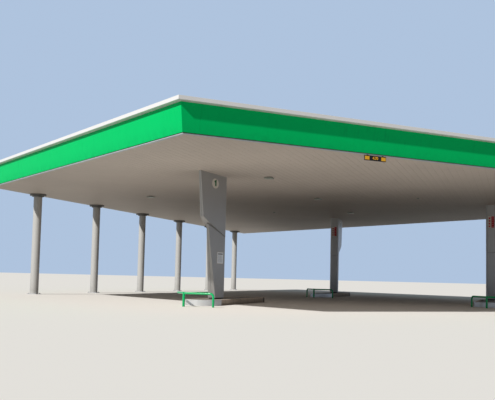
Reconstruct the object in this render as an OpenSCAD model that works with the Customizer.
// Filling station canopy, a half-scale model: every length is half of the real one.
// The roof is a right trapezoid on three clad front columns and a row of round rear ones.
// X runs along the pump islands, Y towards the rear edge, Z up from the ground.

/* [Roof plan] */
// Length of the left side, from the near corner to the rear edge
left_side = 10000; // [8000:100:12000]
// Length of the right side, square to the left one at the near corner
right_side = 15000; // [13500:100:17000]
// Angle from the island rows to the left side, in degrees
row_angle = 47.4; // [44:0.2:50]

/* [Roof edge] */
// Height of the soffit above the ground
soffit_z = 2500; // [2200:10:2800]
// Height of the light trim along the soffit's edge
trim_h = 10; // [8:1:30]
// Width of the trim's foot, from its outer edge to the soffit
trim_foot = 60; // [50:1:90]
// Height of the shadow gap between trim and fascia
shadow_gap = 10; // [3:1:15]
// Height of the fascia panels
fascia_h = 410; // [300:5:500]
// How far the fascia's top leans out past its bottom
fascia_rake = 70; // [20:1:120]
// How far the fascia's bottom stands out past the trim
fascia_step = 10; // [0:1:30]
// Thickness of the fascia's folded metal
fascia_t = 5; // [3:0.5:10]
// Height of the coping's outer face
coping_h = 70; // [40:1:120]
// How far the coping reaches out past the fascia's top
coping_reach = 75; // [40:1:150]
// Fall of the coping's top towards the roof
coping_fall = 10; // [2:1:20]
// How far the coping's underside falls from its outer face to the fascia
coping_drip = 12; // [0:1:20]
// Distance from the trim's outer edge to the edge channel's web
web_set = 20; // [12:1:30]
// Thickness of the edge channel's web
web_t = 14; // [8:1:20]

/* [Roof] */
// Thickness of the soffit planks
soffit_t = 14; // [10:1:25]
// Thickness of the roof deck
deck_t = 50; // [30:1:80]
// Drop from the coping's inner edge to the roof deck
deck_drop = 80; // [60:5:150]
// Thickness of the coping's inner leg
coping_leg = 12; // [6:1:20]
// Width of the roof beams' flanges
beam_w = 150; // [100:5:200]
// Thickness of the roof beams' flanges
beam_flange = 14; // [8:1:20]
// Thickness of the roof beams' webs
beam_web = 10; // [6:1:16]
// Height of the joists that cross the beams
joist_h = 120; // [80:5:160]
// Width of the joists
joist_w = 60; // [40:5:90]

/* [Front columns] */
// Distance of the left row of columns from the near corner
row_a_y = 1200; // [900:10:1400]
// Distance between the two rows of columns
row_pitch = 5010; // [4500:10:5300]
// Blunt end of the first column, whose nose points to the near corner
column_1_x = 5330; // [5000:5:5600]
// Blunt end of the second column, whose nose points away
column_2_x = 16950; // [16500:10:17300]
// Blunt end of the third column, whose nose points away
column_3_x = 11900; // [11400:10:12200]
// Length of a column's cladding at the soffit
fin_l = 1260; // [1150:5:1350]
// Width of the cladding at the blunt end
fin_w = 260; // [230:2:280]
// Width of the nose at the soffit
nose_w = 38; // [30:1:60]
// Radius of the blunt end's upright corners
corner_r = 60; // [40:1:80]
// Width of the groove down the middle of the nose
groove_w = 14; // [8:1:20]
// Depth of that groove
groove_t = 6; // [3:1:10]
// How far the nose has drawn back at its lower end
nose_back = 170; // [100:5:250]
// Height of the nose's lower end
nose_z = 1655; // [1600:5:1750]
// Where the sloping underside meets the joint, back from the nose at the soffit
chin_back = 425; // [380:5:500]
// Height of that point
chin_z = 1565; // [1480:5:1590]
// Height of the joint at the blunt end
joint_z = 1305; // [1200:5:1400]
// How far the joint bows up past a straight line
joint_rise = 4; // [0:1:40]
// Width of the joint between the upper and lower cladding
joint_gap = 10; // [8:1:20]
// How far the lower cladding is set in from the upper one
lower_inset = 2; // [1:1:15]
// How far the lower nose stands back from there
lower_back = 70; // [40:5:100]
// Length of the lower cladding at its foot
foot_l = 410; // [360:5:460]
// Width of the lower nose at its top
lower_nose_w = 36; // [24:1:50]
// Height of the dark plinth under the cladding
plinth_h = 25; // [15:1:40]
// How far the plinth and the joint's backing are set in
core_inset = 16; // [10:1:24]
// Side of the square steel post
post_w = 110; // [80:5:120]
// Distance of the post's middle from the blunt end
post_x = 210; // [160:5:260]

/* [Column plates] */
// Width of the oval number disc
disc_w = 310; // [180:5:340]
// Height of the number disc
disc_h = 190; // [140:5:240]
// Thickness of the discs and the notice plates
plate_t = 4; // [2:0.5:8]
// Height of the disc's middle
disc_z = 2320; // [2100:5:2370]
// Distance of the disc's middle from the nose
disc_back = 665; // [500:5:800]
// Width of the notice plate on a blunt end
notice_w = 160; // [100:5:180]
// Height of the notice plate
notice_h = 300; // [150:5:330]
// Height of the notice plate's lower edge
notice_z = 1920; // [1800:5:2150]
// Width of the notice on the first column's lower cladding
low_notice_w = 255; // [200:5:270]
// Height of that notice
low_notice_h = 225; // [180:5:260]
// Height of its lower edge
low_notice_z = 790; // [700:10:850]
// Distance of its edge from the blunt end
low_notice_x = 125; // [90:5:140]

/* [Rear columns] */
// Number of rear columns
rear_count = 6; // [4:1:6]
// Distance of the first one from the near corner, along the rows
rear_x = 8500; // [8300:10:9000]
// Distance between rear columns
rear_pitch = 3300; // [2800:10:3400]
// Distance of their middles from the rear edge
rear_set = 260; // [220:5:400]
// Diameter of a rear column
rear_d = 210; // [180:2:230]
// Diameter of the collar under the soffit
collar_d = 410; // [300:5:440]
// Thickness of the collar
collar_t = 45; // [20:1:60]
// Diameter of the ring under the collar
ring_d = 290; // [250:5:290]
// Thickness of the ring
ring_t = 25; // [10:1:40]
// Side of the square base plate
base_w = 260; // [240:5:320]
// Thickness of the base plate
base_t = 13; // [8:1:20]
// Distance between anchor holes along a side
anchor_pitch = 200; // [190:2:220]
// Diameter of an anchor hole
anchor_d = 15; // [10:1:20]

/* [Islands] */
// Near end of the first column's island
island_1_x = 4060; // [3960:20:4160]
// Near end of the second column's island
island_2_x = 14700; // [14500:20:15200]
// Near end of the third column's island
island_3_x = 9000; // [8800:20:9200]
// Length of an island
island_l = 3850; // [3700:10:4000]
// Width of an island
island_w = 600; // [500:10:700]
// Height of the kerb
kerb_h = 110; // [60:5:130]
// Thickness of the steel plate round the near end
nose_plate_t = 4; // [2:0.5:8]
// How far the steel plate runs on along the island's sides
nose_plate_run = 260; // [200:10:400]
// Distance from the island to its guard hoop's middle leg
hoop_gap = 650; // [600:10:700]
// Diameter of the guard hoop's tube
hoop_d = 38; // [34:1:38]
// Diameter of its middle post, which both bars run into
post_d = 45; // [45:1:50]
// Length of the front bar, from the middle leg to the right one
hoop_w = 550; // [500:5:600]
// Height of the bars at their middle
hoop_z = 237; // [200:1:300]
// Radius of the hoop's bends
hoop_r = 60; // [50:1:90]
// How far back the left leg stands from the middle one
hoop_back = 575; // [500:5:620]
// How far to the left it stands
hoop_left = 335; // [300:5:360]

/* [Fittings] */
// Distance of the first light of the middle row from the near corner along X
light_x = 5300; // [5200:10:5400]
// Distance between lights along X
light_pitch_x = 4520; // [4400:10:4600]
// Number of lights in the middle row
light_count = 3; // [3:1:4]
// Distance of the middle row from the near corner along Y
light_y = 210; // [100:10:300]
// Distance of the light near the rear edge along X
rear_light_x = 9130; // [9000:10:9300]
// Its distance along Y
rear_light_y = 4310; // [4200:10:4450]
// Side of a light's square housing
light_w = 160; // [130:5:200]
// Height of the housing
light_t = 22; // [16:1:30]
// Side of the box that it hangs on
light_box_w = 70; // [50:5:100]
// Height of that box
light_box_t = 14; // [8:1:20]
// Distance from the near corner to the clearance sign
sign_x = 3180; // [3000:20:3600]
// Length of the clearance sign
sign_l = 430; // [380:10:600]
// Height of the clearance sign
sign_h = 80; // [70:5:140]
// Thickness of the clearance sign
sign_t = 10; // [6:1:16]
// Length of the sign's hangers under the trim
hanger_l = 10; // [6:1:30]

/* [Hidden] */
$fn = 48;
ROUND = 64;
WHITE = [0.95, 0.95, 0.94];
GREEN = [0.02, 0.55, 0.20];
TRIM_GREY = [0.62, 0.68, 0.72];
SOFFIT_GREY = [0.58, 0.55, 0.51];
SILVER = [0.62, 0.63, 0.65];
DARK = [0.12, 0.12, 0.13];
CONCRETE = [0.62, 0.59, 0.55];
STEEL = [0.70, 0.71, 0.72];

// The roof's corners, at the trim's outer edge: near, left, back and right
rear_y = left_side * sin(row_angle);
far_side = left_side + right_side / tan(row_angle);
along_left = [cos(row_angle), sin(row_angle)];
along_right = [sin(row_angle), -cos(row_angle)];
corners = [[0, 0], left_side * along_left,
    right_side * along_right + far_side * along_left, right_side * along_right];
// The sides run from each corner to the next: left, rear, far and right
side_turn = [row_angle, 0, row_angle + 180, row_angle + 90];
side_out = [for (a = side_turn) [-sin(a), cos(a)]];

// Corner i of the roof, with all four sides moved out by d
function corner(i, d) = let (n = side_out[i], m = side_out[(i + 3) % 4])
    corners[i] + d * (n + m) / (1 + n * m);
function outline(d) = [for (i = [0:3]) corner(i, d)];
function side_length(i) = norm(corners[(i + 1) % 4] - corners[i]);

// Heights of the roof edge, from the soffit up
fascia_z = soffit_z + trim_h + shadow_gap;
coping_z = fascia_z + fascia_h;
top_z = coping_z + coping_h;
deck_top = top_z - coping_fall - deck_drop;
beam_z = soffit_z + soffit_t;
beam_h = deck_top - deck_t - beam_z;
fascia_top = fascia_step + fascia_rake;
coping_out = fascia_top + coping_reach;
web_in = web_set + web_t;

// The origin is on the ground, at the middle of the coping's box
edge = outline(coping_out);
mid_x = (min([for (p = edge) p.x]) + max([for (p = edge) p.x])) / 2;
mid_y = (min([for (p = edge) p.y]) + max([for (p = edge) p.y])) / 2;

// Each front column's blunt end, row and the way its nose points
row_b_y = row_a_y - row_pitch;
front = [[column_1_x, row_a_y, -1], [column_2_x, row_a_y, 1], [column_3_x, row_b_y, 1]];
rear_places = [for (k = [0:rear_count - 1]) [rear_x + k * rear_pitch, rear_y - rear_set]];

module placed() {
    translate([-mid_x, -mid_y, 0]) children();
}

// Extrudes a section along side i and mitres both ends: its x points out, its y up
module along_side(i) {
    j = (i + 1) % 4;
    room = web_in + trim_foot + coping_leg;
    placed() intersection() {
        translate([corners[i].x, corners[i].y, 0]) rotate([0, 0, side_turn[i]])
            translate([-4 * coping_out, 0, 0]) rotate([90, 0, 90])
            linear_extrude(side_length(i) + 8 * coping_out) children();
        linear_extrude(top_z + 1)
            polygon([corner(i, -room), corner(i, 2 * coping_out),
                corner(j, 2 * coping_out), corner(j, -room)]);
    }
}

module coping_section() {
    inner = -web_in - coping_leg;
    polygon([[coping_out, coping_z + coping_drip], [coping_out, top_z],
        [inner, top_z - coping_fall], [inner, deck_top], [-web_in, deck_top],
        [-web_in, coping_z], [fascia_top, coping_z]]);
}

// A folded tray: raked face, with its top and bottom flanges on the web behind it
module fascia_section() {
    lean = fascia_rake / fascia_h;
    low_in = fascia_step - fascia_t + fascia_t * lean;
    top_in = fascia_top - fascia_t - fascia_t * lean;
    polygon([[fascia_step, fascia_z], [fascia_top, coping_z], [-web_set, coping_z],
        [-web_set, coping_z - fascia_t], [top_in, coping_z - fascia_t],
        [low_in, fascia_z + fascia_t], [-web_set, fascia_z + fascia_t],
        [-web_set, fascia_z]]);
}

// The edge channel: a narrow foot that shows under the fascia, and a web behind it
module trim_section() {
    polygon([[0, soffit_z], [0, soffit_z + trim_h], [-web_set, soffit_z + trim_h],
        [-web_set, coping_z], [-web_in, coping_z], [-web_in, soffit_z + trim_h],
        [-trim_foot, soffit_z + trim_h], [-trim_foot, soffit_z]]);
}

module coping(i) {
    color(WHITE) along_side(i) coping_section();
}

module fascia(i) {
    color(GREEN) along_side(i) fascia_section();
}

module trim(i) {
    color(TRIM_GREY) along_side(i) trim_section();
}

module roof_deck() {
    color(STEEL) placed() translate([0, 0, deck_top - deck_t])
        linear_extrude(deck_t) polygon(outline(-web_in));
}

// The soffit, cut where the posts and the rear columns pass through
module soffit() {
    color(SOFFIT_GREY) placed() difference() {
        translate([0, 0, soffit_z]) linear_extrude(soffit_t) polygon(outline(-trim_foot));
        for (f = front)
            translate([f.x + f.z * post_x, f.y, soffit_z + soffit_t / 2])
                cube([post_w, post_w, 2 * soffit_t], center = true);
        for (p = rear_places)
            translate([p.x, p.y, soffit_z - 1]) cylinder(d = rear_d, h = soffit_t + 2, $fn = ROUND);
    }
}

module beam_section() {
    half = beam_w / 2;
    rib = beam_web / 2;
    polygon([[-half, 0], [half, 0], [half, beam_flange], [rib, beam_flange],
        [rib, beam_h - beam_flange], [half, beam_h - beam_flange], [half, beam_h],
        [-half, beam_h], [-half, beam_h - beam_flange], [-rib, beam_h - beam_flange],
        [-rib, beam_flange], [-half, beam_flange]]);
}

// A beam along X at height y of the plan, cut to the room inside the edge channels
module beam_at(y) {
    intersection() {
        translate([0, y, beam_z]) rotate([90, 0, 90])
            linear_extrude(corners[2].x) beam_section();
        translate([0, 0, beam_z]) linear_extrude(beam_h) polygon(outline(-web_in));
    }
}

module main_beams() {
    color(DARK) placed()
        for (y = [row_b_y, row_a_y, rear_y - rear_set]) beam_at(y);
}

// Joists across the beams, one over each rear column's line, between the beams' flanges
module joists() {
    low = deck_top - deck_t - joist_h;
    color(DARK) placed() difference() {
        intersection() {
            for (p = rear_places)
                translate([p.x - joist_w / 2, corners[3].y, low])
                    cube([joist_w, rear_y - corners[3].y, joist_h]);
            translate([0, 0, low]) linear_extrude(joist_h) polygon(outline(-web_in));
        }
        for (y = [row_b_y, row_a_y, rear_y - rear_set])
            translate([0, y - beam_w / 2, low - 1]) cube([corners[2].x, beam_w, joist_h + 2]);
    }
}

// Angle from a wedge's middle line to its side, which touches the round blunt corner
function wedge_lean(l, w, tip) = let (run = l - corner_r, rise = w / 2 - corner_r - tip / 2)
    atan2(rise, run) + asin(corner_r / norm([run, rise]));

// Plan of a wedge; a short arc rounds each corner of its blunt end
module wedge(l, w, tip) {
    lean = wedge_lean(l, w, tip);
    arc = [for (i = [0:16]) let (a = 180 - i / 16 * (90 + lean))
        [corner_r + corner_r * cos(a), w / 2 - corner_r + corner_r * sin(a)]];
    low = [for (i = [16:-1:0]) [arc[i].x, -arc[i].y]];
    polygon(concat(arc, [[l, tip / 2], [l, -tip / 2]], low));
}

// The slope under the nose ends at the chin; the lower cladding starts a little behind it
chin = fin_l - chin_back;
lower_l = chin - lower_back;
foot_z = kerb_h + plinth_h;
lower_w = fin_w - 2 * lower_inset;
upper_lean = wedge_lean(fin_l, fin_w, nose_w);
lower_lean = wedge_lean(lower_l, lower_w, lower_nose_w);
function upper_half(x) = nose_w / 2 + (fin_l - x) * tan(upper_lean);
function lower_half(x) = lower_nose_w / 2 + (lower_l - x) * tan(lower_lean);

// Plan of what stands behind the joint and above the ground, set in on all sides
module core_plan() {
    translate([core_inset, 0])
        wedge(lower_l - 3 * core_inset, lower_w - 2 * core_inset, lower_nose_w - core_inset);
}

// A point on the bowed joint, at share t of the way to the chin
function joint_at(t, drop) =
    [t * chin, joint_z - drop + (chin_z - joint_z) * t + 4 * joint_rise * t * (1 - t)];
function joint_line(drop, share = 1) = [for (i = [8:-1:0]) joint_at(i / 8 * share, drop)];

// Stands a side outline up, x along the column and z up, w wide
module side_cut(points, w = 2 * fin_w) {
    rotate([90, 0, 0]) translate([0, 0, -w / 2]) linear_extrude(w) polygon(points);
}

// The groove down a nose, from point a of its edge to point b
module groove(a, b) {
    side_cut([[a.x - groove_t, a.y], [a.x + fin_w, a.y], [b.x + fin_w, b.y],
        [b.x - groove_t, b.y]], groove_w);
}

module at_front(k) {
    f = front[k];
    placed() translate([f.x, f.y, 0]) scale([f.z, 1, 1]) children();
}

// The steel post, the joint's backing and the plinth
module core() {
    translate([post_x - post_w / 2, -post_w / 2, kerb_h])
        cube([post_w, post_w, beam_z - kerb_h]);
    intersection() {
        linear_extrude(soffit_z) core_plan();
        side_cut(concat(joint_line(2 * joint_gap),
            [for (i = [0:8]) joint_at(i / 8, -joint_gap)]));
    }
    translate([0, 0, kerb_h]) linear_extrude(plinth_h)
        intersection() {
            core_plan();
            translate([0, -fin_w]) square([foot_l - core_inset, 2 * fin_w]);
        }
}

module column_post(k) {
    color(DARK) at_front(k) core();
}

module upper_cladding(k) {
    tip = [fin_l - nose_back, nose_z];
    color(SILVER) at_front(k) difference() {
        intersection() {
            linear_extrude(soffit_z) wedge(fin_l, fin_w, nose_w);
            side_cut(concat([[0, soffit_z], [fin_l, soffit_z], tip], joint_line(0)));
        }
        core();
        groove([fin_l, soffit_z], tip - [1, 6]);
    }
}

module lower_cladding(k) {
    share = lower_l / chin;
    top = joint_at(share, joint_gap);
    color(SILVER) at_front(k) difference() {
        intersection() {
            linear_extrude(soffit_z) wedge(lower_l, lower_w, lower_nose_w);
            side_cut(concat([[0, foot_z], [foot_l, foot_z]], joint_line(joint_gap, share)));
        }
        core();
        groove([top.x + 1, top.y + 4], [foot_l, foot_z]);
    }
}

// An oval disc on each wide face, turned to lie flat on it
module number_discs() {
    x = fin_l - disc_back;
    oval = [for (a = [0:7.5:352.5]) [disc_w / 2 * cos(a), disc_h / 2 * sin(a)]];
    color(WHITE) for (k = [0:2]) at_front(k) for (s = [-1, 1])
        translate([x, s * upper_half(x), disc_z]) rotate([-90 * s, 0, -upper_lean * s])
            linear_extrude(plate_t) polygon(oval);
}

// Plates on two blunt ends, and one on the right side of the first column's lower part
module notice_plates() {
    color(WHITE) {
        for (k = [1, 2]) at_front(k)
            translate([-plate_t, -notice_w / 2, notice_z])
                cube([plate_t, notice_w, notice_h]);
        at_front(0) translate([low_notice_x, -lower_half(low_notice_x), low_notice_z])
            rotate([0, 0, lower_lean]) translate([0, -plate_t, 0])
                cube([low_notice_w, plate_t, low_notice_h]);
    }
}

module rear_column(k) {
    p = rear_places[k];
    color(SILVER) placed() translate([p.x, p.y, base_t])
        cylinder(d = rear_d, h = beam_z - base_t, $fn = ROUND);
}

// A collar under the soffit with a smaller ring below it
module rear_collars() {
    color(SILVER) placed() for (p = rear_places)
        translate([p.x, p.y, soffit_z - collar_t - ring_t]) difference() {
            union() {
                cylinder(d = ring_d, h = ring_t + collar_t, $fn = ROUND);
                translate([0, 0, ring_t]) cylinder(d = collar_d, h = collar_t, $fn = ROUND);
            }
            translate([0, 0, -1])
                cylinder(d = rear_d, h = ring_t + collar_t + 2, $fn = ROUND);
        }
}

module rear_base_plates() {
    reach = anchor_pitch / 2;
    color(STEEL) placed() for (p = rear_places)
        translate([p.x, p.y, 0]) difference() {
            translate([-base_w / 2, -base_w / 2, 0]) cube([base_w, base_w, base_t]);
            for (x = [-reach, reach], y = [-reach, reach])
                translate([x, y, -1]) cylinder(d = anchor_d, h = base_t + 2);
        }
}

light_places = concat([for (k = [0:light_count - 1]) [light_x + k * light_pitch_x, light_y]],
    [[rear_light_x, rear_light_y]]);

// Square housings that hang on small boxes
module downlights() {
    drop = light_t + light_box_t;
    color(DARK) placed() for (p = light_places) translate([p.x, p.y, soffit_z - drop]) {
        translate([-light_w / 2, -light_w / 2, 0]) cube([light_w, light_w, light_t]);
        translate([-light_box_w / 2, -light_box_w / 2, 0])
            cube([light_box_w, light_box_w, drop]);
    }
}

// A plate that hangs on two short straps under the right side's trim
module clearance_sign() {
    p = sign_x * along_right;
    strap = 2 * sign_t;
    color(DARK) placed() translate([p.x, p.y, 0]) rotate([0, 0, row_angle - 90]) {
        translate([0, sign_t, soffit_z - hanger_l - sign_h]) cube([sign_l, sign_t, sign_h]);
        for (x = [sign_l / 8, sign_l * 7 / 8 - strap])
            translate([x, sign_t, soffit_z - hanger_l]) cube([strap, sign_t, hanger_l]);
    }
}

island_x = [island_1_x, island_2_x, island_3_x];

module island(k) {
    r = island_w / 2;
    color(CONCRETE) placed() translate([island_x[k] + r, front[k].y, 0]) {
        cylinder(r = r, h = kerb_h, $fn = ROUND);
        translate([0, -r, 0]) cube([island_l - 2 * r, island_w, kerb_h]);
        translate([island_l - 2 * r, 0, 0]) cylinder(r = r, h = kerb_h, $fn = ROUND);
    }
}

// Steel round the near end of each island and a little way along its sides
module island_nose_plates() {
    r = island_w / 2;
    color(STEEL) placed() for (k = [0:2]) translate([island_x[k] + r, front[k].y, 0]) {
        rotate([0, 0, 90]) rotate_extrude(angle = 180, $fn = ROUND)
            translate([r, 0]) square([nose_plate_t, kerb_h]);
        for (y = [r, -r - nose_plate_t]) translate([0, y, 0])
            cube([nose_plate_run, nose_plate_t, kerb_h]);
    }
}

// A quarter bend of the tube, from straight up at [hoop_r, 0] to level
module bend() {
    rotate([90, 0, 0]) rotate_extrude(angle = 90) translate([hoop_r, 0]) circle(d = hoop_d);
}

// A level bar along X that starts at distance a
module bar(a, b) {
    translate([a, 0, hoop_z]) rotate([0, 90, 0]) cylinder(d = hoop_d, h = b - a);
}

// A bar that starts at distance a and bends down into a leg at distance b
module arm(a, b) {
    bar(a, b - hoop_r);
    translate([b - hoop_r, 0, hoop_z - hoop_r]) bend();
    translate([b, 0, 0]) cylinder(d = hoop_d, h = hoop_z - hoop_r);
}

// Two bars that run into a post: one across the island's end to the right leg, and one
// back to the left leg, which the first hoop has lost
module guard_hoop(k) {
    root = post_d / 4;
    reach = norm([hoop_back, hoop_left]);
    color(GREEN) placed() translate([island_x[k] - hoop_gap, front[k].y, 0]) {
        cylinder(d = post_d, h = hoop_z + hoop_d / 2 + 2);
        rotate([0, 0, -90]) arm(root, hoop_w);
        rotate([0, 0, atan2(hoop_left, hoop_back)])
            if (k == 0) bar(root, reach - hoop_r / 2);
            else arm(root, reach);
    }
}

roof_deck();
soffit();
main_beams();
joists();
coping(0);  // coping_left
coping(1);  // coping_rear
coping(2);  // coping_far
coping(3);  // coping_right
fascia(0);  // fascia_left
fascia(1);  // fascia_rear
fascia(2);  // fascia_far
fascia(3);  // fascia_right
trim(0);  // trim_left
trim(1);  // trim_rear
trim(2);  // trim_far
trim(3);  // trim_right
column_post(0);  // column_post_1
column_post(1);  // column_post_2
column_post(2);  // column_post_3
upper_cladding(0);  // upper_cladding_1
upper_cladding(1);  // upper_cladding_2
upper_cladding(2);  // upper_cladding_3
lower_cladding(0);  // lower_cladding_1
lower_cladding(1);  // lower_cladding_2
lower_cladding(2);  // lower_cladding_3
number_discs();
notice_plates();
rear_column(0);  // rear_column_1
rear_column(1);  // rear_column_2
rear_column(2);  // rear_column_3
rear_column(3);  // rear_column_4
rear_column(4);  // rear_column_5
rear_column(5);  // rear_column_6
rear_collars();
rear_base_plates();
downlights();
clearance_sign();
island(0);  // island_1
island(1);  // island_2
island(2);  // island_3
island_nose_plates();
guard_hoop(0);  // guard_hoop_1
guard_hoop(1);  // guard_hoop_2
guard_hoop(2);  // guard_hoop_3
